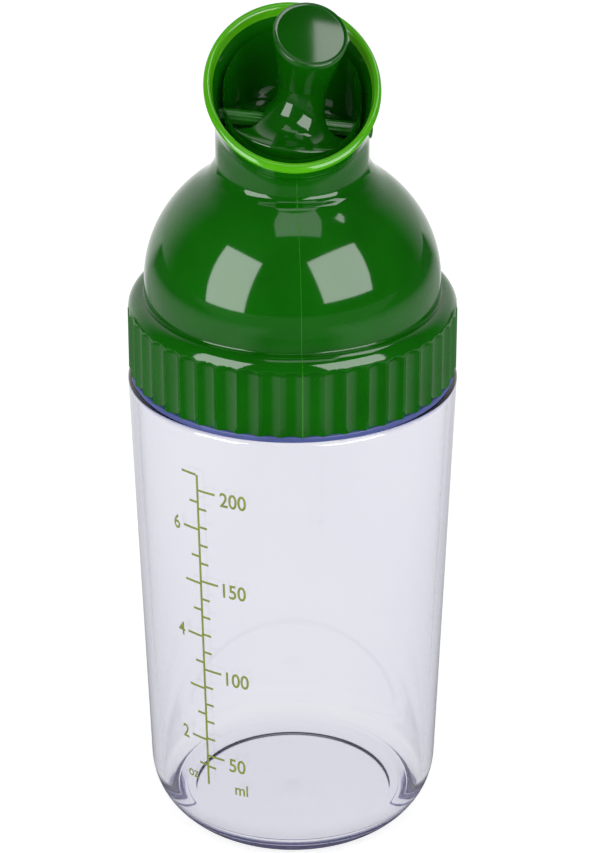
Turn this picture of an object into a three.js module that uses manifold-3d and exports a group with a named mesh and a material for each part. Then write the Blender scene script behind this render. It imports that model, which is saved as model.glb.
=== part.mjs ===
// Salad dressing shaker: a clear tapered bottle, a green screw cap with a domed top and a slanted
// spout, and a lever whose ball-shaped foot closes the throat of the spout.
// Millimetres, +Z up, origin at the centre of the bottle's foot, front of the cap towards -Y.

import * as THREE from 'three';
import { mergeVertices } from 'three/addons/utils/BufferGeometryUtils.js';
import Module from 'manifold-3d';

const wasm = await Module();
wasm.setup();

// Bottle
const BODY_BASE_R = 28.33;
const BODY_TOP_R = 31.8;
const BODY_HEIGHT = 96.75;
const BODY_WALL = 2.0;
const SHOULDER_EDGE = 0.9;
const BASE_CORNER = 12.8;
const FOOT_BLEND = 2.5;
const FOOT_WIDTH = 3.4;
const FOOT_RECESS = 0.9;
const FLOOR_THICKNESS = 3.8;
const FLOOR_CORNER = 3.0;
const SHOULDER_STEP = 4.6;
const SHOULDER_THICKNESS = 2.4;
const NECK_WALL = 2.0;
const NECK_HEIGHT = 11.25;
const NECK_LIP = 0.6;

// Screw thread, one ridge on the neck and one in the cap
const THREAD_PITCH = 4.0;
const THREAD_TURNS = 1.5;
const THREAD_HEIGHT = 1.25;
const THREAD_ROOT_HALF = 0.9;
const THREAD_CREST_HALF = 0.45;
const THREAD_START = 3.15;
const THREAD_FLANK_GAP = 0.3;
const THREAD_RADIAL_GAP = 0.4;
const THREAD_RUN_OUT = 0.12;
const THREAD_END_SHARE = 0.3;

// Blue seal ring between the bottle's shoulder and the cap
const SEAL_THICKNESS = 1.25;
const SEAL_INSET = 0.4;
const SEAL_NECK_GAP = 0.35;

// Cap
const BORE_GAP = 0.45;
const COLLAR_WALL = 1.85;
const COLLAR_HEIGHT = 15.8;
const COLLAR_ROUND_WIDTH = 2.86;
const COLLAR_ROUND_HEIGHT = 3.6;
const BORE_HEADROOM = 2.6;
const FLUTE_COUNT = 48;
const FLUTE_DEPTH = 0.9;
const FLUTE_TOP = 12.4;
const FLUTE_ARCH = 1.6;
const DOME_LEDGE = 0.4;
const DOME_CENTRE = 18.5;
const DOME_RISE = 25.4;
const DOME_WALL = 2.0;
const SPOUT_R = 14.5;
const SPOUT_FILLET = 3.1;
const RIM_R = 16.63;
const RIM_THICKNESS = 1.4;
const RIM_HEIGHT = 57.7;
const RIM_SLOPE = Math.tan(THREE.MathUtils.degToRad(31.5));
const RIM_SETBACK = 0.4;
const FLARE_LENGTH = 9.5;
const THROAT_STEP = 1.0;

// Lever, its pin and the ball seat in the throat
const PIVOT_HEIGHT = 50.0;
const SEAT_R = 12.95;
const SEAT_DEPTH = 7.2;
const SEAT_GAP = 0.3;
const FOOT_SEAL_PROUD = 0.35;
const LEVER_FOOT_TOP = -0.4;
const LEVER_FOOT_DEPTH = 6.8;
const FOOT_SEAL_TOP = 4.1;
const FOOT_SEAL_HEIGHT = 1.3;
const FOOT_SEAL_WIDTH = 1.25;
const SEAL_GROOVE_GAP = 0.3;
const FOOT_HOLLOW_R = 8.2;
const FOOT_HOLLOW_DEPTH = 2.9;
const POCKET_R = 5.1;
const POCKET_REACH = 5.5;
const POCKET_DEPTH = 2.2;
const STEM_R = 4.6;
const STEM_WAIST = 0.7;
const STEM_FLARE = 7.6;
const FOOT_FLARE = 1.9;
const FOOT_FLARE_HEIGHT = 1.4;
const FOOT_RAMP = 1.5;
const STEM_OFFSET = 0.9;
const KNOB_R = 7.0;
const KNOB_HEIGHT = 18.0;
const KNOB_DISH = 0.5;
const KNOB_LIP = 0.35;
const KNOB_SLOPE = Math.tan(THREE.MathUtils.degToRad(27));
const LEVER_ROLL = THREE.MathUtils.degToRad(8);
const PIN_R = 1.5;
const PIN_GAP = 0.1;
const PIN_PROUD = 0.6;

// Facets
const COLUMNS = FLUTE_COUNT;
const LEVER_COLUMNS = 36;
const PIN_COLUMNS = 24;

// Sizes that follow from the ones above
const NECK_R = BODY_TOP_R - SHOULDER_STEP;
const NECK_TOP = BODY_HEIGHT + NECK_HEIGHT;
const THREAD_R = NECK_R + THREAD_HEIGHT;
const COLLAR_BOTTOM = BODY_HEIGHT + SEAL_THICKNESS;
const BORE_R = THREAD_R + BORE_GAP;
const COLLAR_R = BORE_R + COLLAR_WALL + FLUTE_DEPTH;
const COLLAR_TOP = COLLAR_BOTTOM + COLLAR_HEIGHT;
const DOME_R = COLLAR_R - COLLAR_ROUND_WIDTH - DOME_LEDGE;
const DOME_Z = COLLAR_BOTTOM + DOME_CENTRE;
const RIM_Z = COLLAR_BOTTOM + RIM_HEIGHT;
const PIVOT_Z = COLLAR_BOTTOM + PIVOT_HEIGHT;
const SEAT_BOTTOM = PIVOT_Z - SEAT_DEPTH;
const FOOT_SEAL_R = SEAT_R - SEAT_GAP;
const LEVER_FOOT_R = FOOT_SEAL_R - FOOT_SEAL_PROUD;

function point(r, z) {
  return new THREE.Vector2(r, z);
}

// Points on a circle in the (radius, height) plane, angles in degrees.
function arc(r, z, radius, from, to, steps) {
  return ellipse(r, z, radius, radius, from, to, steps);
}

function ellipse(r, z, width, height, from, to, steps) {
  const points = [];
  for (let i = 0; i <= steps; i += 1) {
    const angle = THREE.MathUtils.degToRad(from + ((to - from) * i) / steps);
    points.push(point(r + width * Math.cos(angle), z + height * Math.sin(angle)));
  }
  return points;
}

function bend(start, control, end, steps) {
  return new THREE.QuadraticBezierCurve(start, control, end).getPoints(steps);
}

// Radius of a sphere of the given radius at a height above or below its centre.
function sphereRadius(radius, height) {
  return Math.sqrt(radius * radius - height * height);
}

// Turns a profile of (radius, height) points about Z, with its first column at the front.
function turned(profile, columns) {
  const geometry = new THREE.LatheGeometry(profile, columns);
  geometry.rotateX(Math.PI / 2);
  return welded(geometry);
}

// Merges shared vertices and leaves out triangles that have shrunk to a line at the axis.
function welded(geometry) {
  geometry.deleteAttribute('normal');
  geometry.deleteAttribute('uv');
  const merged = mergeVertices(geometry, 1e-4);
  const index = merged.getIndex().array;
  const kept = [];
  for (let i = 0; i < index.length; i += 3) {
    const [a, b, c] = [index[i], index[i + 1], index[i + 2]];
    if (a !== b && b !== c && c !== a) {
      kept.push(a, b, c);
    }
  }
  merged.setIndex(kept);
  return merged;
}

// Moves every vertex by a function that changes the Vector3 it is given.
function reshaped(geometry, change) {
  const position = geometry.getAttribute('position');
  const vertex = new THREE.Vector3();
  for (let i = 0; i < position.count; i += 1) {
    vertex.fromBufferAttribute(position, i);
    change(vertex);
    position.setXYZ(i, vertex.x, vertex.y, vertex.z);
  }
  return geometry;
}

function solid(geometry) {
  const vertProperties = new Float32Array(geometry.getAttribute('position').array);
  const triVerts = new Uint32Array(geometry.getIndex().array);
  return new wasm.Manifold(new wasm.Mesh({ numProp: 3, vertProperties, triVerts }));
}

function meshed(manifold) {
  const { vertProperties, triVerts } = manifold.getMesh();
  const geometry = new THREE.BufferGeometry();
  geometry.setAttribute('position', new THREE.BufferAttribute(new Float32Array(vertProperties), 3));
  geometry.setIndex(new THREE.BufferAttribute(new Uint32Array(triVerts), 1));
  return geometry;
}

// A cylinder along the lever's pin, in the lever's frame or in the object's.
function pinCylinder(radius, halfLength) {
  const geometry = new THREE.CylinderGeometry(radius, radius, 2 * halfLength, PIN_COLUMNS);
  geometry.rotateZ(Math.PI / 2);
  return welded(geometry);
}

// A helical ridge of trapezoid section whose crest sinks into its root at both ends.
function threadRidge(rootR, crestR, startZ, startAngle) {
  const steps = Math.round(COLUMNS * THREAD_TURNS);
  const positions = [];
  for (let i = 0; i <= steps; i += 1) {
    const along = i / steps;
    const angle = startAngle + 2 * Math.PI * THREAD_TURNS * along;
    const z = startZ + THREAD_PITCH * THREAD_TURNS * along;
    const rise = Math.min(1, along / THREAD_RUN_OUT, (1 - along) / THREAD_RUN_OUT);
    const crest = rootR + (crestR - rootR) * Math.max(rise, THREAD_END_SHARE);
    const section = [
      [rootR, -THREAD_ROOT_HALF],
      [crest, -THREAD_CREST_HALF],
      [crest, THREAD_CREST_HALF],
      [rootR, THREAD_ROOT_HALF],
    ];
    for (const [r, height] of section) {
      positions.push(r * Math.sin(angle), -r * Math.cos(angle), z + height);
    }
  }
  const outward = crestR > rootR;
  const index = [];
  const face = (a, b, c) => index.push(...(outward ? [a, b, c] : [a, c, b]));
  for (let i = 0; i < steps; i += 1) {
    for (let j = 0; j < 4; j += 1) {
      const a = 4 * i + j;
      const b = 4 * i + ((j + 1) % 4);
      face(a, a + 4, b);
      face(b, a + 4, b + 4);
    }
  }
  const last = 4 * steps;
  face(0, 1, 2);
  face(0, 2, 3);
  face(last, last + 2, last + 1);
  face(last, last + 3, last + 2);
  const geometry = new THREE.BufferGeometry();
  geometry.setAttribute('position', new THREE.Float32BufferAttribute(positions, 3));
  geometry.setIndex(index);
  return geometry;
}

// Outer radius of the tapered body at a height.
function bodyRadius(z) {
  return BODY_BASE_R + ((BODY_TOP_R - BODY_BASE_R) * z) / BODY_HEIGHT;
}

function bottleGeometry() {
  const cornerAngle = -60;
  const cornerTilt = THREE.MathUtils.degToRad(cornerAngle);
  const blendDrop = (BASE_CORNER - FOOT_BLEND) * Math.sin(-cornerTilt) + FOOT_BLEND;
  const cornerR = bodyRadius(blendDrop) - BASE_CORNER;
  const footR = cornerR + (BASE_CORNER - FOOT_BLEND) * Math.cos(cornerTilt);
  const neckInner = NECK_R - NECK_WALL;
  const ceiling = BODY_HEIGHT - SHOULDER_THICKNESS;
  const innerTopR = bodyRadius(ceiling) - BODY_WALL;
  const innerBaseR = bodyRadius(FLOOR_THICKNESS + FLOOR_CORNER) - BODY_WALL;
  const floorEdge = Math.min(innerBaseR, cornerR + BASE_CORNER - BODY_WALL) - FLOOR_CORNER;
  const profile = [
    point(0, FOOT_RECESS),
    point(footR - FOOT_WIDTH - FOOT_RECESS, FOOT_RECESS),
    point(footR - FOOT_WIDTH, 0),
    ...arc(footR, FOOT_BLEND, FOOT_BLEND, -90, cornerAngle, 2),
    ...arc(cornerR, blendDrop, BASE_CORNER, cornerAngle, 0, 6).slice(1),
    ...arc(BODY_TOP_R - SHOULDER_EDGE, BODY_HEIGHT - SHOULDER_EDGE, SHOULDER_EDGE, 0, 90, 3),
    point(NECK_R, BODY_HEIGHT),
    ...arc(NECK_R - NECK_LIP, NECK_TOP - NECK_LIP, NECK_LIP, 0, 90, 2),
    point(neckInner, NECK_TOP),
    point(neckInner, BODY_HEIGHT),
    ...bend(point(neckInner, ceiling), point(innerTopR, ceiling), point(innerTopR, ceiling - NECK_WALL), 3),
    ...arc(floorEdge, FLOOR_THICKNESS + FLOOR_CORNER, FLOOR_CORNER, 0, -90, 4),
    point(0, FLOOR_THICKNESS),
  ];
  const ridge = threadRidge(NECK_R - BORE_GAP, THREAD_R, BODY_HEIGHT + THREAD_START, 0);
  return meshed(solid(turned(profile, COLUMNS)).add(solid(ridge)));
}

function shoulderSealGeometry() {
  const inner = THREAD_R + SEAL_NECK_GAP;
  const outer = COLLAR_R - SEAL_INSET;
  const profile = [
    point(inner, BODY_HEIGHT),
    point(outer, BODY_HEIGHT),
    point(outer, COLLAR_BOTTOM),
    point(inner, COLLAR_BOTTOM),
    point(inner, BODY_HEIGHT),
  ];
  return turned(profile, COLUMNS);
}

// Slants the spout: what is below `from` stays, and what is above `to` follows the rim's slope.
function slant(vertex, from, to, slope) {
  const share = THREE.MathUtils.clamp((vertex.z - from) / (to - from), 0, 1);
  vertex.z += slope * vertex.y * share;
}

function capGeometry() {
  const flareFoot = RIM_Z - FLARE_LENGTH;
  const flareMiddle = flareFoot + FLARE_LENGTH / 2;
  const rimOuter = point(RIM_R, RIM_Z - RIM_SETBACK);
  const rimInner = point(RIM_R - RIM_THICKNESS, RIM_Z - RIM_SETBACK);
  const filletAngle = Math.acos((SPOUT_R + SPOUT_FILLET) / DOME_R);
  const filletStart = point(DOME_R * Math.cos(filletAngle), DOME_Z + DOME_RISE * Math.sin(filletAngle));
  const filletRise = (SPOUT_FILLET * DOME_RISE * Math.cos(filletAngle)) / (DOME_R * Math.sin(filletAngle));
  const filletCorner = point(SPOUT_R, filletStart.y + filletRise);
  const filletEnd = point(SPOUT_R, filletCorner.y + filletRise);
  const collarRoundZ = COLLAR_TOP - COLLAR_ROUND_HEIGHT;
  const collarRoundR = COLLAR_R - COLLAR_ROUND_WIDTH;
  const outer = [
    point(COLLAR_R, COLLAR_BOTTOM),
    ...ellipse(collarRoundR, collarRoundZ, COLLAR_ROUND_WIDTH, COLLAR_ROUND_HEIGHT, 0, 90, 5),
    point(DOME_R, COLLAR_TOP),
    ...ellipse(0, DOME_Z, DOME_R, DOME_RISE, 0, THREE.MathUtils.radToDeg(filletAngle), 7),
    ...bend(filletStart, filletCorner, filletEnd, 3).slice(1),
    ...bend(point(SPOUT_R, flareFoot), point(SPOUT_R, flareMiddle), rimOuter, 4),
    ...arc(RIM_R - RIM_THICKNESS / 2, rimOuter.y, RIM_THICKNESS / 2, 45, 180, 3),
  ];
  const domeInner = DOME_R - DOME_WALL;
  const domeInnerRise = DOME_RISE - DOME_WALL;
  const throatR = sphereRadius(SEAT_R, SEAT_DEPTH);
  const throatAngle = THREE.MathUtils.radToDeg(Math.acos((throatR + SPOUT_FILLET) / domeInner));
  const dome = ellipse(0, DOME_Z, domeInner, domeInnerRise, throatAngle, 0, 6);
  const seatTop = PIVOT_Z - flareFoot;
  const flareEnd = point(sphereRadius(SEAT_R, seatTop), flareFoot);
  const seat = [];
  for (const share of [0.25, 0.5, 0.75, 1]) {
    const depth = seatTop + (SEAT_DEPTH - seatTop) * share;
    seat.push(point(sphereRadius(SEAT_R, depth), PIVOT_Z - depth));
  }
  const throatFoot = point(throatR, SEAT_BOTTOM - THROAT_STEP);
  const boreTop = NECK_TOP + BORE_HEADROOM;
  const inner = [
    ...bend(rimInner, point(SEAT_R, flareMiddle), flareEnd, 4).slice(1),
    ...seat,
    ...bend(throatFoot, point(throatR, dome[0].y + THROAT_STEP), dome[0], 2),
    ...dome.slice(1),
    point(domeInner, boreTop + DOME_WALL),
    point(BORE_R, boreTop),
    point(BORE_R, COLLAR_BOTTOM),
    outer[0],
  ];
  const shellOf = turned([...outer, ...inner], COLUMNS);
  const flareTop = RIM_Z - RIM_THICKNESS * 2;
  const isOuter = (vertex) => Math.hypot(vertex.x, vertex.y) > SPOUT_R - PIN_GAP;
  reshaped(shellOf, (vertex) => {
    const from = isOuter(vertex) ? filletCorner.y - THROAT_STEP : PIVOT_Z - FOOT_SEAL_TOP - SEAT_GAP;
    slant(vertex, from, flareTop, RIM_SLOPE);
  });

  const ridgeDrop = THREAD_ROOT_HALF + THREAD_CREST_HALF + THREAD_FLANK_GAP;
  const ridgeZ = BODY_HEIGHT + THREAD_START - ridgeDrop + THREAD_PITCH / 4;
  const ridge = threadRidge(BORE_R + BORE_GAP, NECK_R + THREAD_RADIAL_GAP, ridgeZ, Math.PI / 2);
  const bore = pinCylinder(PIN_R + PIN_GAP, RIM_R + PIN_PROUD);
  bore.rotateY(LEVER_ROLL);
  bore.translate(0, 0, PIVOT_Z);
  return meshed(solid(shellOf).subtract(flutes()).add(solid(ridge)).subtract(solid(bore)));
}

// The round-topped grooves round the collar, as one cutter.
function flutes() {
  const halfStep = Math.PI / FLUTE_COUNT;
  const halfChord = COLLAR_R * Math.sin(halfStep);
  const radius = (halfChord * halfChord + FLUTE_DEPTH * FLUTE_DEPTH) / (2 * FLUTE_DEPTH);
  const top = COLLAR_BOTTOM + FLUTE_TOP;
  const profile = [
    point(0, COLLAR_BOTTOM - 1),
    point(radius, COLLAR_BOTTOM - 1),
    ...ellipse(0, top, radius, FLUTE_ARCH, 0, 90, 4),
  ];
  const cutters = [];
  for (let i = 0; i < FLUTE_COUNT; i += 1) {
    const cutter = turned(profile, 14);
    cutter.translate(0, -(COLLAR_R - FLUTE_DEPTH + radius), 0);
    cutter.rotateZ((2 * i + 1) * halfStep);
    cutters.push(solid(cutter));
  }
  return wasm.Manifold.union(cutters);
}

// The lever in its own frame: pivot at the origin, pin along X, stem up.
function leverGeometry() {
  const footBottomR = sphereRadius(LEVER_FOOT_R, LEVER_FOOT_DEPTH);
  const grooveTop = FOOT_SEAL_TOP - SEAL_GROOVE_GAP;
  const grooveBottom = FOOT_SEAL_TOP + FOOT_SEAL_HEIGHT + SEAL_GROOVE_GAP;
  const grooveR = footSealInner() - SEAL_GROOVE_GAP;
  const zone = [];
  for (const share of [0, 0.5, 1]) {
    const depth = grooveTop + (-LEVER_FOOT_TOP - grooveTop) * share;
    zone.push(point(sphereRadius(LEVER_FOOT_R, depth), -depth));
  }
  const footEdge = zone[2];
  const rampStart = point(footEdge.x - FOOT_RAMP, LEVER_FOOT_TOP / 2);
  const flareStart = point(STEM_R + FOOT_FLARE, FOOT_FLARE_HEIGHT);
  const stemFoot = STEM_FLARE - 2;
  const waist = point(STEM_R + STEM_WAIST, KNOB_HEIGHT - KNOB_R);
  const profile = [
    point(0, -LEVER_FOOT_DEPTH + FOOT_HOLLOW_DEPTH),
    point(FOOT_HOLLOW_R, -LEVER_FOOT_DEPTH + FOOT_HOLLOW_DEPTH),
    point(FOOT_HOLLOW_R, -LEVER_FOOT_DEPTH),
    point(footBottomR, -LEVER_FOOT_DEPTH),
    point(sphereRadius(LEVER_FOOT_R, grooveBottom), -grooveBottom),
    point(grooveR, -grooveBottom),
    point(grooveR, -grooveTop),
    ...zone,
    ...bend(rampStart, point(STEM_R + 2 * FOOT_RAMP, 0), flareStart, 3),
    ...bend(flareStart, point(STEM_R, stemFoot / 2), point(STEM_R, stemFoot), 3).slice(1),
    ...bend(point(STEM_R, STEM_FLARE), waist, point(KNOB_R, KNOB_HEIGHT - 2 * KNOB_LIP), 4),
    point(KNOB_R, KNOB_HEIGHT),
    point(KNOB_R - KNOB_LIP, KNOB_HEIGHT + KNOB_LIP / 2),
    point(KNOB_R - 3 * KNOB_LIP, KNOB_HEIGHT - KNOB_DISH / 2),
    point(0, KNOB_HEIGHT - KNOB_DISH),
  ];
  const body = turned(profile, LEVER_COLUMNS);
  reshaped(body, (vertex) => {
    slant(vertex, STEM_FLARE, KNOB_HEIGHT - KNOB_LIP, KNOB_SLOPE);
    vertex.x += STEM_OFFSET * THREE.MathUtils.smoothstep(vertex.z, 0, stemFoot);
  });
  let lever = solid(body);
  for (const side of [-1, 1]) {
    const pocket = new THREE.CylinderGeometry(POCKET_R, POCKET_R, KNOB_R, LEVER_COLUMNS);
    pocket.rotateX(Math.PI / 2);
    pocket.translate(side * (POCKET_REACH + POCKET_R), 0, KNOB_R / 2 - POCKET_DEPTH);
    lever = lever.subtract(solid(welded(pocket)));
  }
  return meshed(lever.subtract(solid(pinCylinder(PIN_R + PIN_GAP, SEAT_R))));
}

function footSealInner() {
  return sphereRadius(FOOT_SEAL_R, FOOT_SEAL_TOP + FOOT_SEAL_HEIGHT) - FOOT_SEAL_WIDTH;
}

function footSealGeometry() {
  const inner = footSealInner();
  const zone = [];
  for (const share of [1, 0.5, 0]) {
    const depth = FOOT_SEAL_TOP + FOOT_SEAL_HEIGHT * share;
    zone.push(point(sphereRadius(FOOT_SEAL_R, depth), -depth));
  }
  const bottom = point(inner, -FOOT_SEAL_TOP - FOOT_SEAL_HEIGHT);
  const profile = [bottom, ...zone, point(inner, -FOOT_SEAL_TOP), bottom];
  return turned(profile, LEVER_COLUMNS);
}

const clearPlastic = new THREE.MeshStandardMaterial({
  color: 0xe6e7ee,
  roughness: 0.08,
  metalness: 0,
  transparent: true,
  opacity: 0.35,
});
const greenPlastic = new THREE.MeshStandardMaterial({ color: 0x1f6a14, roughness: 0.15, metalness: 0 });
const pinPlastic = new THREE.MeshStandardMaterial({ color: 0x2a7a1c, roughness: 0.25, metalness: 0 });
const blueSilicone = new THREE.MeshStandardMaterial({ color: 0x5b6ba8, roughness: 0.5, metalness: 0 });
const paleSilicone = new THREE.MeshStandardMaterial({ color: 0xd8dcd6, roughness: 0.55, metalness: 0 });

function piece(name, geometry, material) {
  const mesh = new THREE.Mesh(geometry, material);
  mesh.name = name;
  return mesh;
}

const leverGroup = new THREE.Group();
leverGroup.position.z = PIVOT_Z;
leverGroup.rotation.y = LEVER_ROLL;
leverGroup.add(
  piece('lever', leverGeometry(), greenPlastic.clone()),
  piece('foot_seal', footSealGeometry(), paleSilicone),
  piece('pivot_pin', pinCylinder(PIN_R, SPOUT_R + PIN_PROUD), pinPlastic),
);

const shaker = new THREE.Group();
shaker.add(
  piece('bottle', bottleGeometry(), clearPlastic),
  piece('shoulder_seal', shoulderSealGeometry(), blueSilicone),
  piece('cap', capGeometry(), greenPlastic),
  leverGroup,
);

export default shaker;
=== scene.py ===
import math

import bpy
from mathutils import Matrix, Vector


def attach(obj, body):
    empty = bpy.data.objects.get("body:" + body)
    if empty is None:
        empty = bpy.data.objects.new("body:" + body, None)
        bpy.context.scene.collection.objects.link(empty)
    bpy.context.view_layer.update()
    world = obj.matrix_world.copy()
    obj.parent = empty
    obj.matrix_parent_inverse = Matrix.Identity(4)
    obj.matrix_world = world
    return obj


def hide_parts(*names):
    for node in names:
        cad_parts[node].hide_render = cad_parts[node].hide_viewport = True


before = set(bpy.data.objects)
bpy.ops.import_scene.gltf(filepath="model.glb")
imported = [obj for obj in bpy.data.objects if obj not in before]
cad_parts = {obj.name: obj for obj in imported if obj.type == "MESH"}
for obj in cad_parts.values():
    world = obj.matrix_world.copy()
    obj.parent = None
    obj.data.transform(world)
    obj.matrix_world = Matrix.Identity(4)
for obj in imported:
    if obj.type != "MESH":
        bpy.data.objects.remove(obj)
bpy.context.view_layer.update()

# All lengths below are millimetres, and MM takes them to Blender's metres.
MM = 0.001

# Bottle: tapered body, heavy base, shoulder and threaded neck
BODY_BASE_R = 28.33
BODY_TOP_R = 31.8
BODY_HEIGHT = 96.75
BODY_WALL = 2.0
SHOULDER_EDGE = 0.9
BASE_CORNER = 12.8
FOOT_BLEND = 2.5
FOOT_ANGLE = 60
FOOT_WIDTH = 2.8
FOOT_RECESS = 0.6
FLOOR_THICKNESS = 3.8
FLOOR_CORNER = 3.0
FLOOR_CORNER_END = -78
FLOOR_BEAD = 0.25
FLOOR_BEADS_APART = 2.1
GATE_R = 1.6
GATE_RISE = 0.12
CEILING = BODY_HEIGHT - 1.0
NECK_R = 27.2
NECK_WALL = 2.0
NECK_TOP = 108.0
NECK_LIP = 0.6
NECK_LINING_LIP = 0.4

# Screw threads: the bottle's ridge, and the cap's ridge between its turns
THREAD_PITCH = 4.0
THREAD_TURNS = 1.5
THREAD_HEIGHT = 1.25
THREAD_STEPS = 160
THREAD_RUN_OUT = 0.12
THREAD_SECTION = (
    (0, -0.9), (0.55, -0.72), (0.9, -0.5), (1, -0.25),
    (1, 0.25), (0.9, 0.5), (0.55, 0.72), (0, 0.9),
)
BOTTLE_THREAD_Z = BODY_HEIGHT + 3.15
CAP_THREAD_R = NECK_R + 0.4
CAP_THREAD_Z = BOTTLE_THREAD_Z - 0.65

# Seal ring at the shoulder
SEAL_INNER_R = 28.8
SEAL_OUTER_R = 31.25
SEAL_EDGE = 0.35
SEAL_GAP = 0.03

# Cap: fluted collar, dome, neck and slanted spout
COLLAR_BOTTOM = 98.0
COLLAR_TOP = 113.8
COLLAR_R = 31.65
COLLAR_ROUND = (2.86, 3.6)
BORE_R = 28.9
BORE_TOP = 110.6
FLUTE_COUNT = 48
CAP_COLUMNS = FLUTE_COUNT * 8
FLUTE_DEPTH = 0.9
FLUTE_TOP = 110.4
FLUTE_ARCH = 1.6
FLUTE_EDGE = 0.3
NO_FLUTE = 99.0
DOME_R = 28.39
DOME_Z = 116.5
DOME_RISE = 25.4
DOME_WALL = 2.0
SPOUT_R = 14.5
SPOUT_FILLET = 3.8
RIM_R = 16.6
RIM_THICKNESS = 1.4
RIM_Z = 155.7
RIM_EDGE = 0.35
RIM_SLOPE = math.tan(math.radians(31.5))
FLARE_LENGTH = 9.5
SEAT_R = 12.95
SEAT_DEPTH = 7.2
SEAT_STEPS = 10
LINING_SLANT_DROP = 4.4

# The mould's parting line on the cap
SEAM_HALF_WIDTH = 0.12
SEAM_RISE = 0.06
SEAM_SINK = 0.05

# Lever, foot seal and pin
PIVOT_Z = 148.0
LEVER_ROLL = math.radians(8)
LEVER_FOOT_R = 12.3
LEVER_FOOT_DEPTH = 6.8
LEVER_FOOT_STEPS = 12
LEVER_HOLLOW_R = 8.2
LEVER_HOLLOW_Z = -3.9
FOOT_SEAL_R = 12.65
FOOT_SEAL_TOP = 4.1
FOOT_SEAL_HEIGHT = 1.3
FOOT_SEAL_INNER = 10.19
FOOT_SEAL_PINCH = 0.25
STEM_R = 4.6
STEM_WAIST = 0.7
STEM_FLARE = 7.6
STEM_OFFSET = 0.9
KNOB_R = 7.0
KNOB_HEIGHT = 18.0
KNOB_SWELL = 0.2
KNOB_EDGE = 0.2
KNOB_FACE_STEPS = 14
KNOB_SLOPE = math.tan(math.radians(27))
POCKET_R = 5.1
POCKET_REACH = 5.5
POCKET_DEPTH = 2.2
PIN_R = 1.5
PIN_HALF = 15.1
PIN_FACE_R = 1.1
PIN_CHAMFER = 0.4
PIN_RIBS = 10
PIN_RIB_DEPTH = 0.09

# Scale print on the bottle: the heights of its top marks, and the spacing down from them
SCALE_AZIMUTH = math.radians(-38.4)
SCALE_FOOT_Z = 16.9
LOWEST_MARK_Z = 21.2
ML_200_Z = 84.0
MM_PER_ML = 0.4013
OUNCE_7_Z = 87.3
MM_PER_OUNCE = 11.97
LONG_ML_MARK = 3.9
SHORT_ML_MARK = 1.9
LONG_OUNCE_MARK = 3.7
SHORT_OUNCE_MARK = 2.0
PRINT_LIFT = 0.04
PRINT_STEP_ACROSS = 0.8
PRINT_STEP_UP = 6
LINE_WIDTH = 0.5

# Type: its capitals' share of the font's size, and how much bolder and narrower it is
TYPE_CAPITAL = 0.69
TYPE_WEIGHT = 0.022
TYPE_WIDTH = 0.84

# Light: what surfaces get from all round, and what the floor adds to stay white
AMBIENT = 0.42
FLOOR_GLOW = 0.72
FLOOR_REACH = 3000
FLOOR_Z = -0.05
SOFTBOX_DISTANCE = 900
SOFTBOX_AIM_Z = 120

# Camera: focal length, and its place behind, beside and above the foot of the bottle
CAMERA_LENS = 149.5
CAMERA_TURN = math.radians(3.5)
CAMERA_TILT = math.radians(90 - 27.27)
CAMERA_BACK = 614.36
CAMERA_RIGHT = 1.43
CAMERA_HEIGHT = 400.93


def srgb(hex_colour):
    """An sRGB hex colour as linear RGBA."""
    channels = [int(hex_colour[i:i + 2], 16) / 255 for i in (1, 3, 5)]
    linear = [c / 12.92 if c <= 0.04045 else ((c + 0.055) / 1.055) ** 2.4 for c in channels]
    return (*linear, 1.0)


# Profiles, as lists of (radius, height)

def ellipse(r, z, width, height, start, end, steps):
    """Part of an ellipse about (r, z), from one angle in degrees to another."""
    points = []
    for i in range(steps + 1):
        angle = math.radians(start + (end - start) * i / steps)
        points.append((r + width * math.cos(angle), z + height * math.sin(angle)))
    return points


def arc(r, z, radius, start, end, steps):
    """Part of a circle about (r, z), from one angle in degrees to another."""
    return ellipse(r, z, radius, radius, start, end, steps)


def bend(start, control, end, steps):
    """A smooth bend from start to end, drawn towards control."""
    points = []
    for i in range(steps + 1):
        t = i / steps
        a, b, c = (1 - t) ** 2, 2 * t * (1 - t), t * t
        r = a * start[0] + b * control[0] + c * end[0]
        z = a * start[1] + b * control[1] + c * end[1]
        points.append((r, z))
    return points


def run(start, end, steps):
    """Evenly spaced points from start up to, but not including, end."""
    across, up = end[0] - start[0], end[1] - start[1]
    return [(start[0] + across * i / steps, start[1] + up * i / steps) for i in range(steps)]


def sphere_radius(radius, height):
    """The radius of a ball's cut at a height above or below its centre."""
    return math.sqrt(radius * radius - height * height)


def body_radius(z):
    """The outer radius of the bottle's tapered wall."""
    return BODY_BASE_R + (BODY_TOP_R - BODY_BASE_R) * z / BODY_HEIGHT


# Meshes

def mesh_object(name, vertices, faces, material, sharp=40):
    """A smooth piece with its object at the origin; edges past sharp degrees stay crisp."""
    mesh = bpy.data.meshes.new(name)
    mesh.from_pydata([tuple(c * MM for c in v) for v in vertices], [], faces)
    mesh.validate()
    mesh.shade_smooth()
    mesh.set_sharp_from_angle(angle=math.radians(sharp))
    mesh.materials.append(material)
    piece = bpy.data.objects.new(name, mesh)
    bpy.context.scene.collection.objects.link(piece)
    return piece


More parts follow.
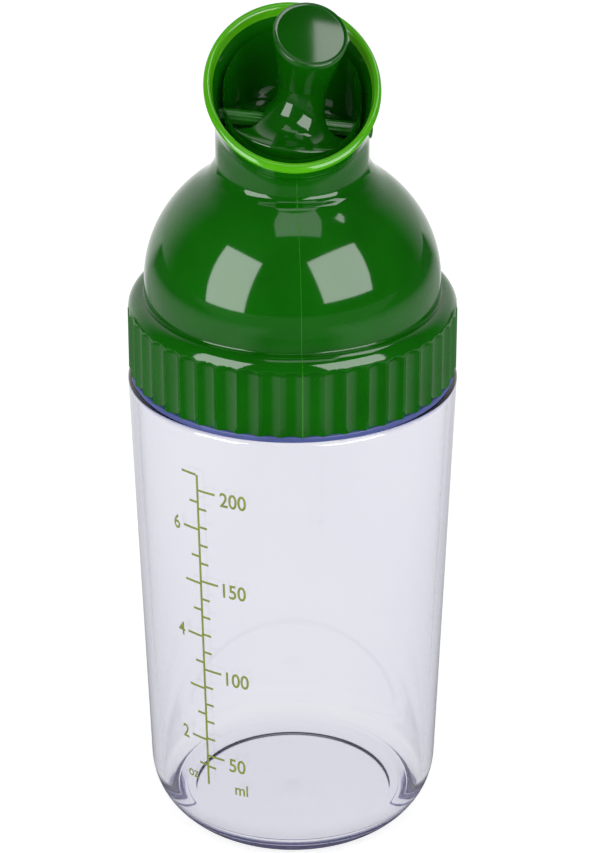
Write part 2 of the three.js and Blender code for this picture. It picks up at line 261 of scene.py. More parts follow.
def spun(name, profile, columns, material, reshape=None, closed=False, sharp=40):
    """Turns a profile about Z; reshape may move each point, given its row and angle."""
    vertices = []
    rows = []
    for row, (r, z) in enumerate(profile):
        if r < 1e-6:
            rows.append([len(vertices)] * columns)
            vertices.append((0, 0, z))
            continue
        start = len(vertices)
        for j in range(columns):
            angle = 2 * math.pi * j / columns
            vertex = (r * math.sin(angle), -r * math.cos(angle), z)
            vertices.append(reshape(vertex, row, angle) if reshape else vertex)
        rows.append(list(range(start, start + columns)))
    if closed:
        rows.append(rows[0])
    faces = []
    for lower, upper in zip(rows, rows[1:]):
        for j in range(columns):
            k = (j + 1) % columns
            corners = [lower[j], lower[k], upper[k], upper[j]]
            face = [c for i, c in enumerate(corners) if c != corners[i - 1]]
            if len(face) > 2:
                faces.append(face)
    return mesh_object(name, vertices, faces, material, sharp)


def helix(name, root_r, crest_r, start_z, start_angle, material):
    """A screw thread's ridge, whose crest sinks into its root at both ends."""
    vertices = []
    for i in range(THREAD_STEPS + 1):
        along = i / THREAD_STEPS
        angle = start_angle + 2 * math.pi * THREAD_TURNS * along
        z = start_z + THREAD_PITCH * THREAD_TURNS * along
        from_end = min(along, 1 - along) / THREAD_RUN_OUT
        rise = max(0.02, math.sin(min(1, from_end) * math.pi / 2))
        for share, height in THREAD_SECTION:
            r = root_r + (crest_r - root_r) * share * rise
            vertices.append((r * math.sin(angle), -r * math.cos(angle), z + height))
    size = len(THREAD_SECTION)
    faces = []
    for i in range(THREAD_STEPS):
        for j in range(size):
            a, b = size * i + j, size * i + (j + 1) % size
            faces.append((a, a + size, b + size, b) if crest_r > root_r else (a, b, b + size, a + size))
    faces.append(list(range(size)))
    faces.append(list(range(size * THREAD_STEPS, size * (THREAD_STEPS + 1)))[::-1])
    return mesh_object(name, vertices, faces, material, 60)


def slanted(vertex, low, high, slope):
    """Leaves what is below low, and gives what is above high the rim's slope."""
    x, y, z = vertex
    share = min(max((z - low) / (high - low), 0), 1)
    return (x, y, z + slope * y * share)


# Node materials

def add_node(tree, kind, settings=None, links=None):
    """Adds a node, sets its properties and sockets by name, and links its inputs."""
    node = tree.nodes.new(kind)
    for key, value in (settings or {}).items():
        if key in node.inputs:
            node.inputs[key].default_value = value
        else:
            setattr(node, key, value)
    for key, source in (links or {}).items():
        tree.links.new(source, node.inputs[key])
    return node


def new_material(name):
    """An empty node material and its tree."""
    material = bpy.data.materials.new(name)
    material.use_nodes = True
    material.node_tree.nodes.clear()
    return material, material.node_tree


def output(tree, shader):
    """Sends a shader to the material's surface."""
    add_node(tree, "ShaderNodeOutputMaterial", {}, {"Surface": shader.outputs[0]})


def mottled(tree, scale_mm, low, high, low_colour, high_colour):
    """A soft blend of two close colours, in patches of about scale_mm."""
    place = add_node(tree, "ShaderNodeTexCoord")
    noise = add_node(tree, "ShaderNodeTexNoise", {"Scale": 1 / (scale_mm * MM), "Detail": 3.0},
                     {"Vector": place.outputs["Object"]})
    ramp = add_node(tree, "ShaderNodeValToRGB", {}, {"Fac": noise.outputs["Fac"]})
    ramp.color_ramp.elements[0].position = low
    ramp.color_ramp.elements[0].color = srgb(low_colour)
    ramp.color_ramp.elements[1].position = high
    ramp.color_ramp.elements[1].color = srgb(high_colour)
    return ramp


def moulded_ripple(tree, scale_mm, distance_mm):
    """The faint waviness of a moulded surface, which bends reflections a little."""
    place = add_node(tree, "ShaderNodeTexCoord")
    noise = add_node(tree, "ShaderNodeTexNoise", {"Scale": 1 / (scale_mm * MM), "Detail": 1.0},
                     {"Vector": place.outputs["Object"]})
    return add_node(tree, "ShaderNodeBump", {"Strength": 0.35, "Distance": distance_mm * MM},
                    {"Height": noise.outputs["Fac"]})


def green_polypropylene(name, dark, light, roughness):
    """Polished moulded polypropylene: deep green with a hard, clear gloss."""
    material, tree = new_material(name)
    colour = mottled(tree, 14.0, 0.35, 0.65, dark, light)
    ripple = moulded_ripple(tree, 9.0, 0.03)
    shader = add_node(tree, "ShaderNodeBsdfPrincipled",
                      {"Roughness": roughness, "IOR": 1.49, "Subsurface Weight": 0.08,
                       "Subsurface Radius": (0.2, 1.0, 0.1), "Subsurface Scale": 0.0012},
                      {"Base Color": colour.outputs["Color"], "Normal": ripple.outputs["Normal"]})
    output(tree, shader)
    return material


def clear_copolyester():
    """Clear injection-moulded copolyester: colourless, a hint of lavender where it is thick."""
    material, tree = new_material("clear_copolyester")
    colour = mottled(tree, 40.0, 0.3, 0.7, "#F9F9FB", "#FBFBFC")
    ripple = moulded_ripple(tree, 25.0, 0.02)
    shader = add_node(tree, "ShaderNodeBsdfPrincipled",
                      {"Roughness": 0.02, "IOR": 1.52, "Transmission Weight": 1.0},
                      {"Base Color": colour.outputs["Color"], "Normal": ripple.outputs["Normal"]})
    tint = add_node(tree, "ShaderNodeVolumeAbsorption", {"Color": srgb("#C2C2E4"), "Density": 55.0})
    add_node(tree, "ShaderNodeOutputMaterial", {},
             {"Surface": shader.outputs[0], "Volume": tint.outputs[0]})
    return material


def silicone(name, dark, light):
    """Moulded silicone rubber: soft satin, slightly milky."""
    material, tree = new_material(name)
    colour = mottled(tree, 5.0, 0.35, 0.65, dark, light)
    ripple = moulded_ripple(tree, 1.2, 0.02)
    shader = add_node(tree, "ShaderNodeBsdfPrincipled",
                      {"Roughness": 0.42, "IOR": 1.41, "Subsurface Weight": 0.15,
                       "Subsurface Radius": (0.6, 0.7, 1.0), "Subsurface Scale": 0.0015},
                      {"Base Color": colour.outputs["Color"], "Normal": ripple.outputs["Normal"]})
    output(tree, shader)
    return material


def screen_ink():
    """Olive screen-printing ink: thin and matt, a little uneven in cover."""
    material, tree = new_material("olive_screen_ink")
    colour = mottled(tree, 0.8, 0.3, 0.7, "#7A862C", "#8E983C")
    shader = add_node(tree, "ShaderNodeBsdfPrincipled", {"Roughness": 0.5, "IOR": 1.5},
                      {"Base Color": colour.outputs["Color"]})
    output(tree, shader)
    return material


CLEAR = clear_copolyester()
GREEN = green_polypropylene("green_polypropylene", "#0A5803", "#0E6206", 0.07)
# Painted shade: the lever takes a darker copy of the cap's green, for the shade it sits in down the spout.
LEVER_SHADED_GREEN = green_polypropylene("lever_shaded_green_polypropylene", "#0A5003", "#0D5806", 0.08)
PIN_GREEN = green_polypropylene("pin_green_polypropylene", "#14600A", "#18690C", 0.16)
# Painted glow: the rim's lighter green stands in for light shining through the thin plastic of the lip.
RIM_PAINTED_GLOW_GREEN = green_polypropylene("rim_painted_glow_green_polypropylene", "#4AA60C", "#55B212", 0.12)
# Painted highlight: the parting line's lighter green stands in for the light caught along its raised crest.
SEAM_HIGHLIGHT_GREEN = green_polypropylene("seam_painted_highlight_polypropylene", "#1E7A0C", "#24840F", 0.12)
BLUE = silicone("blue_silicone", "#445190", "#4E5B9A")
PALE = silicone("pale_silicone", "#C9CDC6", "#D6DAD2")
INK = screen_ink()


# Bottle

def bottle_profile():
    """The bottle's section: over the foot, up the wall and neck, and back down the inside."""
    foot_angle = math.radians(FOOT_ANGLE)
    drop = (BASE_CORNER - FOOT_BLEND) * math.sin(foot_angle) + FOOT_BLEND
    corner_r = body_radius(drop) - BASE_CORNER
    foot_r = corner_r + (BASE_CORNER - FOOT_BLEND) * math.cos(foot_angle)
    neck_inner = NECK_R - NECK_WALL
    inner_top = body_radius(CEILING) - BODY_WALL
    inner_base = body_radius(FLOOR_THICKNESS + FLOOR_CORNER) - BODY_WALL
    floor_edge = inner_base - FLOOR_CORNER
    outer_bead = floor_edge - 0.1
    inner_bead = outer_bead - FLOOR_BEADS_APART
    step = FOOT_WIDTH / 2
    recess_edge = (foot_r - 2 * step, FOOT_RECESS)
    recess_side = (foot_r - step, FOOT_RECESS / 2)
    return [
        (0, FOOT_RECESS),
        *bend(recess_edge, (foot_r - 1.4 * step, FOOT_RECESS), recess_side, 8),
        *bend(recess_side, (foot_r - 0.6 * step, 0), (foot_r, 0), 8)[1:-1],
        *arc(foot_r, FOOT_BLEND, FOOT_BLEND, -90, -FOOT_ANGLE, 8),
        *arc(corner_r, drop, BASE_CORNER, -FOOT_ANGLE, -2, 24)[1:],
        *arc(BODY_TOP_R - SHOULDER_EDGE, BODY_HEIGHT - SHOULDER_EDGE, SHOULDER_EDGE, -2, 90, 12),
        *bend((NECK_R + 0.6, BODY_HEIGHT), (NECK_R, BODY_HEIGHT), (NECK_R, BODY_HEIGHT + 0.6), 5),
        *arc(NECK_R - NECK_LIP, NECK_TOP - NECK_LIP, NECK_LIP, 0, 90, 6),
        *arc(neck_inner + NECK_LINING_LIP, NECK_TOP - NECK_LINING_LIP, NECK_LINING_LIP, 90, 180, 5),
        *bend((neck_inner, CEILING + 0.6), (neck_inner, CEILING), (neck_inner + 0.6, CEILING), 5),
        *bend((inner_top - 0.6, CEILING), (inner_top, CEILING), (inner_top, CEILING - 0.6), 6),
        *arc(floor_edge, FLOOR_THICKNESS + FLOOR_CORNER, FLOOR_CORNER, 0, FLOOR_CORNER_END, 14),
        *arc(outer_bead, FLOOR_THICKNESS, FLOOR_BEAD, 40, 180, 8),
        *arc(inner_bead, FLOOR_THICKNESS, FLOOR_BEAD, 0, 180, 8),
        (GATE_R, FLOOR_THICKNESS),
        (GATE_R - 0.4, FLOOR_THICKNESS + GATE_RISE),
        (0, FLOOR_THICKNESS + GATE_RISE),
    ]


def build_bottle():
    body = spun("clear_bottle", bottle_profile(), 192, CLEAR, sharp=50)
    thread = helix("bottle_thread", NECK_R - 0.02, NECK_R + THREAD_HEIGHT, BOTTLE_THREAD_Z, 0, CLEAR)
    for piece in (body, thread):
        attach(piece, "bottle")
    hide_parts("bottle")


# Scale print

def on_bottle(along, z):
    """The point at a distance round from the scale's upright line, just proud of the wall."""
    r = body_radius(z)
    angle = SCALE_AZIMUTH + along / r
    r += PRINT_LIFT
    return (r * math.sin(angle), -r * math.cos(angle), z)


def ml_height(ml):
    return ML_200_Z - MM_PER_ML * (200 - ml)


def ounce_height(ounces):
    return OUNCE_7_Z - MM_PER_OUNCE * (7 - ounces)


def printed_bar(left, right, low, high, vertices, faces):
    """Adds a bar that follows the bottle's wall, fine enough to stay clear of it."""
    steps_across = max(1, round((right - left) / PRINT_STEP_ACROSS))
    steps_up = max(1, round((high - low) / PRINT_STEP_UP))
    start = len(vertices)
    for i in range(steps_up + 1):
        for j in range(steps_across + 1):
            along = left + (right - left) * j / steps_across
            vertices.append(on_bottle(along, low + (high - low) * i / steps_up))
    width = steps_across + 1
    for i in range(steps_up):
        for j in range(steps_across):
            a = start + i * width + j
            faces.append((a, a + 1, a + width + 1, a + width))


def printed_text(text, along, z, height, vertices, faces):
    """Wraps a line of type round the bottle, its left end at along and centred on z."""
    curve = bpy.data.curves.new("scale_type", "FONT")
    curve.body = text
    curve.size = height / TYPE_CAPITAL
    curve.align_x = "LEFT"
    curve.offset = TYPE_WEIGHT * height
    carrier = bpy.data.objects.new("scale_type", curve)
    bpy.context.scene.collection.objects.link(carrier)
    mesh = bpy.data.meshes.new_from_object(carrier)
    start = len(vertices)
    left = min(v.co.x for v in mesh.vertices)
    for v in mesh.vertices:
        vertices.append(on_bottle(along + TYPE_WIDTH * (v.co.x - left), z - height / 2 + v.co.y))
    for polygon in mesh.polygons:
        faces.append([start + i for i in polygon.vertices])
    bpy.data.objects.remove(carrier)
    bpy.data.curves.remove(curve)
    bpy.data.meshes.remove(mesh)


def build_scale():
    vertices, faces = [], []
    half = LINE_WIDTH / 2
    printed_bar(-half, half, SCALE_FOOT_Z, ounce_height(7), vertices, faces)
    for ml in range(50, 210, 10):
        z = ml_height(ml)
        length = LONG_ML_MARK if ml % 50 == 0 else SHORT_ML_MARK
        printed_bar(half, length, z - half, z + half, vertices, faces)
    printed_bar(half, SHORT_ML_MARK, LOWEST_MARK_Z - half, LOWEST_MARK_Z + half, vertices, faces)
    for halves in range(3, 15):
        z = ounce_height(halves / 2)
        length = LONG_OUNCE_MARK if halves % 2 == 0 else SHORT_OUNCE_MARK
        printed_bar(-length, -half, z - half, z + half, vertices, faces)
    for ml in (50, 100, 150, 200):
        printed_text(str(ml), 4.9, ml_height(ml) - 0.7, 3.0, vertices, faces)
    printed_text("ml", 6.0, 17.6, 2.5, vertices, faces)
    for ounces in (2, 4, 6):
        printed_text(str(ounces), -6.3, ounce_height(ounces), 2.9, vertices, faces)
    printed_text("oz", -5.2, 18.4, 2.3, vertices, faces)
    print_piece = mesh_object("printed_scale", vertices, faces, INK)
    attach(print_piece, "bottle")


# Seal ring at the shoulder

def build_shoulder_seal():
    top, low = COLLAR_BOTTOM - SEAL_GAP, BODY_HEIGHT + SEAL_GAP
    profile = [
        (SEAL_INNER_R, low),
        *arc(SEAL_OUTER_R - SEAL_EDGE, low + SEAL_EDGE, SEAL_EDGE, -90, 0, 6),
        *arc(SEAL_OUTER_R - SEAL_EDGE, top - SEAL_EDGE, SEAL_EDGE, 0, 90, 6),
        (SEAL_INNER_R, top),
    ]
    ring = spun("shoulder_seal_ring", profile, 192, BLUE, closed=True)
    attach(ring, "seal")
    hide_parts("shoulder_seal")


# Cap

def flute_radius(angle, z):
    """The radius of the nearest flute's surface, or a large one where there is none."""
    half_step = math.pi / FLUTE_COUNT
    half_chord = COLLAR_R * math.sin(half_step)
    radius = (half_chord ** 2 + FLUTE_DEPTH ** 2) / (2 * FLUTE_DEPTH)
    centre = COLLAR_R - FLUTE_DEPTH + radius
    off = (angle % (2 * half_step)) - half_step
    if z > FLUTE_TOP:
        radius *= math.sqrt(max(0, 1 - ((z - FLUTE_TOP) / FLUTE_ARCH) ** 2))
    across = centre * math.sin(off)
    if radius <= abs(across):
        return NO_FLUTE
    return centre * math.cos(off) - math.sqrt(radius ** 2 - across ** 2)


def soft_min(a, b, blend):
    """The lower of two values, rounded off where they are within blend of each other."""
    h = max(0.0, blend - abs(a - b)) / blend
    return min(a, b) - h * h * blend / 4


def cap_outline():
    """The cap's outer profile, its number of rows on the collar, and where the slant starts."""
    round_r = COLLAR_R - COLLAR_ROUND[0]
    round_z = COLLAR_TOP - COLLAR_ROUND[1]
    collar = [
        (COLLAR_R - 0.25, COLLAR_BOTTOM),
        (COLLAR_R, COLLAR_BOTTOM + 0.25),
        *run((COLLAR_R, COLLAR_BOTTOM + 2), (COLLAR_R, round_z), 5),
        *ellipse(round_r, round_z, *COLLAR_ROUND, 0, 88, 24),
    ]
    angle = math.degrees(math.acos((SPOUT_R + SPOUT_FILLET) / DOME_R))
    dome = ellipse(0, DOME_Z, DOME_R, DOME_RISE, 0, angle, 28)
    start = dome[-1]
    slope = DOME_RISE * start[0] / DOME_R / (DOME_R * math.sin(math.radians(angle)))
    rise = SPOUT_FILLET * slope
    corner = (SPOUT_R, start[1] + rise)
    flare_foot = RIM_Z - FLARE_LENGTH
    lip = (RIM_R, RIM_Z - RIM_EDGE)
    profile = [
        *collar,
        *bend((DOME_R + 0.35, COLLAR_TOP), (DOME_R, COLLAR_TOP), (DOME_R, COLLAR_TOP + 0.5), 5),
        *dome,
        *bend(start, corner, (SPOUT_R, corner[1] + rise), 12)[1:],
        *run((SPOUT_R, corner[1] + rise + 0.6), (SPOUT_R, flare_foot), 5),
        *bend((SPOUT_R, flare_foot), (SPOUT_R, flare_foot + FLARE_LENGTH / 2), lip, 16),
    ]
    return profile, len(collar), corner[1] - 1


def cap_lining():
    """The cap's inner profile, from the rim down through the seat and dome to the bore."""
    flare_foot = RIM_Z - FLARE_LENGTH
    lip = (RIM_R - RIM_THICKNESS, RIM_Z - RIM_EDGE)
    dome_r, dome_rise = DOME_R - DOME_WALL, DOME_RISE - DOME_WALL
    throat_r = sphere_radius(SEAT_R, SEAT_DEPTH)
    angle = math.degrees(math.acos((throat_r + 3) / dome_r))
    dome = ellipse(0, DOME_Z, dome_r, dome_rise, angle, 0, 14)
    seat = []
    for i in range(SEAT_STEPS + 1):
        depth = SEAT_DEPTH * i / SEAT_STEPS
        seat.append((sphere_radius(SEAT_R, depth), PIVOT_Z - depth))
    foot = (throat_r, PIVOT_Z - SEAT_DEPTH - 1)
    return [
        *bend(lip, (SEAT_R, flare_foot + FLARE_LENGTH / 2), (SEAT_R, flare_foot), 14)[1:-1],
        (SEAT_R, PIVOT_Z + 6),
        (SEAT_R, PIVOT_Z + 3),
        *seat,
        *bend(foot, (throat_r, dome[0][1] + 1), dome[0], 8),
        *dome[1:],
        (dome_r, BORE_TOP + DOME_WALL),
        (BORE_R, BORE_TOP),
        (BORE_R, COLLAR_BOTTOM + 0.2),
        (BORE_R + 0.2, COLLAR_BOTTOM),
    ]


def build_cap():
    outline, collar_rows, slant_foot = cap_outline()
    rim_top = arc(RIM_R - RIM_THICKNESS / 2, RIM_Z - RIM_EDGE, RIM_THICKNESS / 2, 15, 180, 12)
    profile = outline + rim_top + [p for p in cap_lining() if p[1] < RIM_Z - RIM_EDGE - 0.05]
    flare_top = RIM_Z - 2 * RIM_THICKNESS
    lining_start = len(outline) + len(rim_top)

    def shape(vertex, row, angle):
        x, y, z = vertex
        if row < collar_rows:
            r = math.hypot(x, y)
            cut = soft_min(r, flute_radius(angle, z), FLUTE_EDGE)
            x, y = x * cut / r, y * cut / r
        low = PIVOT_Z - LINING_SLANT_DROP if row >= lining_start else slant_foot
        return slanted((x, y, z), low, flare_top, RIM_SLOPE)

    cap = spun("domed_cap", profile, CAP_COLUMNS, GREEN, shape, closed=True, sharp=38)
    # The rim's top band takes the lighter green, a painted glow of light through the thin lip.
    cap.data.materials.append(RIM_PAINTED_GLOW_GREEN)
    first = (len(outline) - 2) * CAP_COLUMNS
    last = lining_start * CAP_COLUMNS
    for polygon in cap.data.polygons[first:last]:
        polygon.material_index = 1
    thread = helix("cap_thread", BORE_R + 0.02, CAP_THREAD_R, CAP_THREAD_Z, math.pi / 2, GREEN)
    seam = parting_line(outline, slant_foot, flare_top)
    for piece in (cap, thread, seam):
        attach(piece, "cap")
    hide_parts("cap")


def parting_line(outline, slant_foot, flare_top):
    """The fine raised line that the mould leaves down the front and the back, in a lighter green that
    paints the highlight along its crest.
    """
    section = ((-SEAM_HALF_WIDTH, -SEAM_SINK), (0, SEAM_RISE), (SEAM_HALF_WIDTH, -SEAM_SINK))
    rows = outline[1:-4]
    vertices, faces = [], []
    for side in (-1, 1):
        start = len(vertices)
        for r, z in rows:
            for across, lift in section:
                vertex = (across, side * (r + lift), z)
                vertices.append(slanted(vertex, slant_foot, flare_top, RIM_SLOPE))
        for i in range(len(rows) - 1):
            for j in range(2):
                a = start + 3 * i + j
                quad = (a, a + 1, a + 4, a + 3)
                faces.append(quad if side < 0 else quad[::-1])
    return mesh_object("mould_parting_line", vertices, faces, SEAM_HIGHLIGHT_GREEN, 60)


# Lever with its foot seal and pin

def lever_frame(piece):
    """Puts a piece made about the pivot into place, by its mesh, with its object at the origin."""
    piece.data.transform(Matrix.Translation((0, 0, PIVOT_Z * MM)) @ Matrix.Rotation(LEVER_ROLL, 4, "Y"))
    return piece


def lever_profile():
    """The lever's section about its pivot: hollow foot, seal's groove, stem and knob."""
    foot_bottom = sphere_radius(LEVER_FOOT_R, LEVER_FOOT_DEPTH)
    groove_top, groove_low = FOOT_SEAL_TOP - 0.3, FOOT_SEAL_TOP + FOOT_SEAL_HEIGHT + 0.3
    groove_r = FOOT_SEAL_INNER - 0.3
    zone = []
    for i in range(LEVER_FOOT_STEPS + 1):
        depth = groove_top + (0.7 - groove_top) * i / LEVER_FOOT_STEPS
        zone.append((sphere_radius(LEVER_FOOT_R, depth), -depth))
    edge = zone[-1]
    flare = (STEM_R + 1.9, 1.4)
    waist = (STEM_R + STEM_WAIST, KNOB_HEIGHT - KNOB_R)
    face = []
    for i in range(KNOB_FACE_STEPS + 1):
        out = 1 - i / KNOB_FACE_STEPS
        face.append(((KNOB_R - 0.4) * out, KNOB_HEIGHT - 0.04 + KNOB_SWELL * (1 - out ** 2)))
    return [
        (0, LEVER_HOLLOW_Z),
        (LEVER_HOLLOW_R, LEVER_HOLLOW_Z),
        (LEVER_HOLLOW_R, -LEVER_FOOT_DEPTH),
        (foot_bottom, -LEVER_FOOT_DEPTH),
        (sphere_radius(LEVER_FOOT_R, groove_low), -groove_low),
        (groove_r, -groove_low),
        (groove_r, -groove_top),
        *zone,
        *bend(edge, (edge[0], -0.35), (edge[0] - 0.5, -0.3), 5)[1:],
        *bend((edge[0] - 1.5, -0.15), (STEM_R + 3, 0.1), flare, 14),
        *bend(flare, (STEM_R + 0.2, 3), (STEM_R, STEM_FLARE - 2), 14)[1:],
        *bend((STEM_R, STEM_FLARE), waist, (KNOB_R, KNOB_HEIGHT - 0.5), 22),
        *arc(KNOB_R - KNOB_EDGE, KNOB_HEIGHT - 0.15, KNOB_EDGE, 0, 110, 7),
        *face,
    ]


def leaned(vertex, row, angle):
    """Slants the knob's face, and leans the stem a little to one side."""
    x, y, z = slanted(vertex, STEM_FLARE, KNOB_HEIGHT - 1, KNOB_SLOPE)
    t = min(max(z / (STEM_FLARE - 2), 0), 1)
    return (x + STEM_OFFSET * t * t * (3 - 2 * t), y, z)


def cut_out(piece, cutter):
    """Takes one closed shape away from another and leaves a plain mesh."""
    modifier = piece.modifiers.new("cut", "BOOLEAN")
    modifier.operation = "DIFFERENCE"
    modifier.solver = "EXACT"
    modifier.object = cutter
    graph = bpy.context.evaluated_depsgraph_get()
    mesh = bpy.data.meshes.new_from_object(piece.evaluated_get(graph))
    piece.modifiers.clear()
    piece.data = mesh
    bpy.data.objects.remove(cutter)


def build_lever():
    lever = spun("thumb_lever", lever_profile(), 160, LEVER_SHADED_GREEN, leaned, sharp=38)
    well = [(0, -POCKET_DEPTH), (POCKET_R, -POCKET_DEPTH), (POCKET_R, 5), (0, 5)]
    for side in (-1, 1):
        pocket = spun("pocket_cutter", well, 96, LEVER_SHADED_GREEN)
        pocket.data.transform(Matrix.Translation((side * (POCKET_REACH + POCKET_R) * MM, 0, 0)))
        cut_out(lever, pocket)
    lever.data.shade_smooth()
    lever.data.set_sharp_from_angle(angle=math.radians(38))
    lever_frame(lever)
    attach(lever, "lever")
    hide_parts("lever")


def build_foot_seal():
    low = FOOT_SEAL_TOP + FOOT_SEAL_HEIGHT
    lip = []
    for i in range(13):
        share = i / 12
        depth = low - FOOT_SEAL_HEIGHT * share
        pinch = FOOT_SEAL_PINCH * (2 * share - 1) ** 4
        lip.append((sphere_radius(FOOT_SEAL_R, depth) - pinch, -depth))
    profile = [(FOOT_SEAL_INNER, -low), *lip, (FOOT_SEAL_INNER, -FOOT_SEAL_TOP)]
    ring = lever_frame(spun("foot_seal_ring", profile, 128, PALE, closed=True))
    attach(ring, "lever")
    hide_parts("foot_seal")


def build_pin():
    """A pin with shallow lengthwise ribs, such as a moulded press-in pin has."""
    def ribbed(vertex, row, angle):
        x, y, z = vertex
        r = math.hypot(x, y)
        depth = PIN_RIB_DEPTH * (0.5 - 0.5 * math.cos(PIN_RIBS * angle)) * (r > PIN_FACE_R + 0.1)
        return (x * (1 - depth / r), y * (1 - depth / r), z)

    profile = [(0, -PIN_HALF), (PIN_FACE_R, -PIN_HALF), (PIN_R, -PIN_HALF + PIN_CHAMFER)]
    profile += run((PIN_R, -PIN_HALF + 1), (PIN_R, PIN_HALF - 1), 12)
    profile += [(PIN_R, PIN_HALF - PIN_CHAMFER), (PIN_FACE_R, PIN_HALF), (0, PIN_HALF)]
    pin = spun("ribbed_pin", profile, 120, PIN_GREEN, ribbed)
    pin.data.transform(Matrix.Rotation(math.pi / 2, 4, "Y"))
    lever_frame(pin)
    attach(pin, "cap")
    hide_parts("pivot_pin")


build_bottle()
build_scale()
build_shoulder_seal()
build_cap()
build_lever()
build_foot_seal()
build_pin()


# Floor, world and lamps

def ramped(tree, value, start, end, low, high):
    """Low where the value is at start, high where it is at end, and smooth between them."""
    node = add_node(tree, "ShaderNodeMapRange",
                    {"interpolation_type": "SMOOTHSTEP", "From Min": start, "From Max": end,
                     "To Min": low, "To Max": high}, {"Value": value})
    return node.outputs[0]


def maths(tree, operation, first, second):
    node = add_node(tree, "ShaderNodeMath", {"operation": operation})
    tree.links.new(first, node.inputs[0])
    tree.links.new(second, node.inputs[1])
    return node.outputs[0]


def mixed_value(tree, share, first, second):
    """The first value where share is 0 and the second where it is 1."""
    node = add_node(tree, "ShaderNodeMix")
    tree.links.new(share, node.inputs[0])
    tree.links.new(first, node.inputs[2])
    tree.links.new(second, node.inputs[3])
    return node.outputs[0]


def mixed_shader(tree, share, first, second):
    node = add_node(tree, "ShaderNodeMixShader", {}, {"Fac": share})
    tree.links.new(first.outputs[0], node.inputs[1])
    tree.links.new(second.outputs[0], node.inputs[2])
    return node


def build_floor():
    """White paper to the camera; gloss and clear plastic see it greyer away from the object."""
    material, tree = new_material("pale_paper_floor")
    colour = mottled(tree, 120.0, 0.3, 0.7, "#C4C4C5", "#C8C8C8")
    paper = add_node(tree, "ShaderNodeBsdfDiffuse", {}, {"Color": colour.outputs["Color"]})
    glow = add_node(tree, "ShaderNodeEmission", {"Color": (1, 1, 1, 1), "Strength": FLOOR_GLOW})
    lit = add_node(tree, "ShaderNodeAddShader")
    tree.links.new(paper.outputs[0], lit.inputs[0])
    tree.links.new(glow.outputs[0], lit.inputs[1])
    place = add_node(tree, "ShaderNodeTexCoord")
    split = add_node(tree, "ShaderNodeSeparateXYZ", {}, {"Vector": place.outputs["Object"]})
    distance = add_node(tree, "ShaderNodeVectorMath", {"operation": "LENGTH"},
                        {"Vector": place.outputs["Object"]})
    through = ramped(tree, distance.outputs["Value"], start=0.23, end=0.5, low=1.0, high=0.6)
    front = ramped(tree, split.outputs["Y"], start=-0.31, end=-0.25, low=0.24, high=0.05)
    aside = add_node(tree, "ShaderNodeMath", {"operation": "ABSOLUTE"})
    tree.links.new(split.outputs["X"], aside.inputs[0])
    behind = maths(tree, "SUBTRACT", split.outputs["Y"], aside.outputs[0])
    back = ramped(tree, behind, start=-0.05, end=0.2, low=0.0, high=0.95)
    beside = ramped(tree, aside.outputs[0], start=0.06, end=0.22, low=0.0, high=0.6)
    near = ramped(tree, distance.outputs["Value"], start=0.35, end=0.7, low=1.0, high=0.1)
    beside = maths(tree, "MULTIPLY", beside, near)
    mirrored = maths(tree, "MAXIMUM", maths(tree, "ADD", front, back), beside)
    path = add_node(tree, "ShaderNodeLightPath")
    tone = mixed_value(tree, path.outputs["Is Transmission Ray"], mirrored, through)
    shown = add_node(tree, "ShaderNodeEmission", {"Color": (1, 1, 1, 1)}, {"Strength": tone})
    either = maths(tree, "MAXIMUM", path.outputs["Is Glossy Ray"], path.outputs["Is Transmission Ray"])
    output(tree, mixed_shader(tree, either, lit, shown))
    corners = [(x * FLOOR_REACH, y * FLOOR_REACH, FLOOR_Z) for x, y in ((-1, -1), (1, -1), (1, 1), (-1, 1))]
    floor = mesh_object("studio_floor", corners, [(0, 1, 2, 3)], material)


def build_world():
    """White to the camera; gloss mirrors a white back and a dark front and ceiling."""
    world = bpy.data.worlds.new("studio")
    bpy.context.scene.world = world
    world.use_nodes = True
    tree = world.node_tree
    tree.nodes.clear()
    place = add_node(tree, "ShaderNodeTexCoord")
    split = add_node(tree, "ShaderNodeSeparateXYZ", {}, {"Vector": place.outputs["Generated"]})
    path = add_node(tree, "ShaderNodeLightPath")
    mirrored = ramped(tree, split.outputs["Y"], start=0.3, end=0.85, low=0.04, high=0.9)
    through = ramped(tree, split.outputs["Z"], start=0.05, end=0.35, low=0.95, high=0.45)
    ambient = add_node(tree, "ShaderNodeValue")
    ambient.outputs[0].default_value = AMBIENT
    white = add_node(tree, "ShaderNodeValue")
    white.outputs[0].default_value = 1.0
    tone = mixed_value(tree, path.outputs["Is Glossy Ray"], ambient.outputs[0], mirrored)
    tone = mixed_value(tree, path.outputs["Is Transmission Ray"], tone, through)
    tone = mixed_value(tree, path.outputs["Is Camera Ray"], tone, white.outputs[0])
    background = add_node(tree, "ShaderNodeBackground", {"Color": (1, 1, 1, 1)}, {"Strength": tone})
    output_node = add_node(tree, "ShaderNodeOutputWorld")
    tree.links.new(background.outputs[0], output_node.inputs["Surface"])


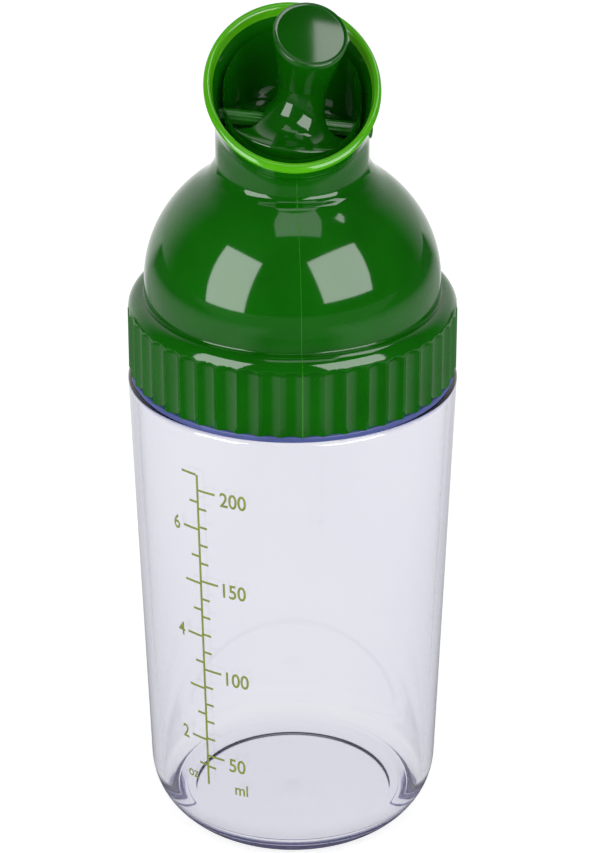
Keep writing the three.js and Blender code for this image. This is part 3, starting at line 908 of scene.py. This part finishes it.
def softbox(name, direction, up, width, height, power, mirrored):
    """A rectangular lamp facing the cap: either one that gloss mirrors, or one that only lights."""
    lamp = bpy.data.lights.new(name, "AREA")
    lamp.shape = "RECTANGLE"
    lamp.size = width * MM
    lamp.size_y = height * MM
    lamp.energy = power
    holder = bpy.data.objects.new(name, lamp)
    bpy.context.scene.collection.objects.link(holder)
    away = Vector(direction).normalized()
    holder.location = (Vector((0, 0, SOFTBOX_AIM_Z)) + away * SOFTBOX_DISTANCE) * MM
    across = Vector(up).cross(away).normalized()
    holder.rotation_euler = Matrix((across, away.cross(across), away)).transposed().to_euler()
    holder.visible_camera = False
    holder.visible_diffuse = not mirrored
    holder.visible_glossy = mirrored
    holder.visible_transmission = False


def build_lights():
    upright, level = (0, 0, 1), (0, 1, 0)
    softbox("left_softbox", (-0.763, -0.535, 0.362), upright, 550, 780, 9.5, True)
    softbox("right_softbox", (0.563, -0.666, 0.489), upright, 680, 660, 9.5, True)
    softbox("top_right_softbox", (0.39, 0.13, 0.91), level, 270, 320, 1.3, True)
    softbox("front_top_softbox", (0.05, -0.23, 0.97), level, 480, 240, 0.6, True)
    softbox("left_fill", (-0.70, -0.60, 0.55), upright, 600, 800, 3.0, False)
    softbox("right_fill", (0.60, -0.70, 0.60), upright, 600, 800, 3.0, False)


def build_camera():
    camera = bpy.data.cameras.new("camera")
    camera.sensor_width = 36
    camera.lens = CAMERA_LENS
    camera.clip_start = 0.01
    holder = bpy.data.objects.new("camera", camera)
    bpy.context.scene.collection.objects.link(holder)
    x = CAMERA_RIGHT * math.cos(CAMERA_TURN) - CAMERA_BACK * math.sin(CAMERA_TURN)
    y = -CAMERA_RIGHT * math.sin(CAMERA_TURN) - CAMERA_BACK * math.cos(CAMERA_TURN)
    holder.location = (x * MM, y * MM, CAMERA_HEIGHT * MM)
    holder.rotation_euler = (CAMERA_TILT, 0, -CAMERA_TURN)
    bpy.context.scene.camera = holder


build_floor()
build_world()
build_lights()
build_camera()
bpy.context.scene.view_settings.view_transform = "Standard"
bpy.context.scene.cycles.max_bounces = 24
bpy.context.scene.cycles.glossy_bounces = 12
bpy.context.scene.cycles.transmission_bounces = 24
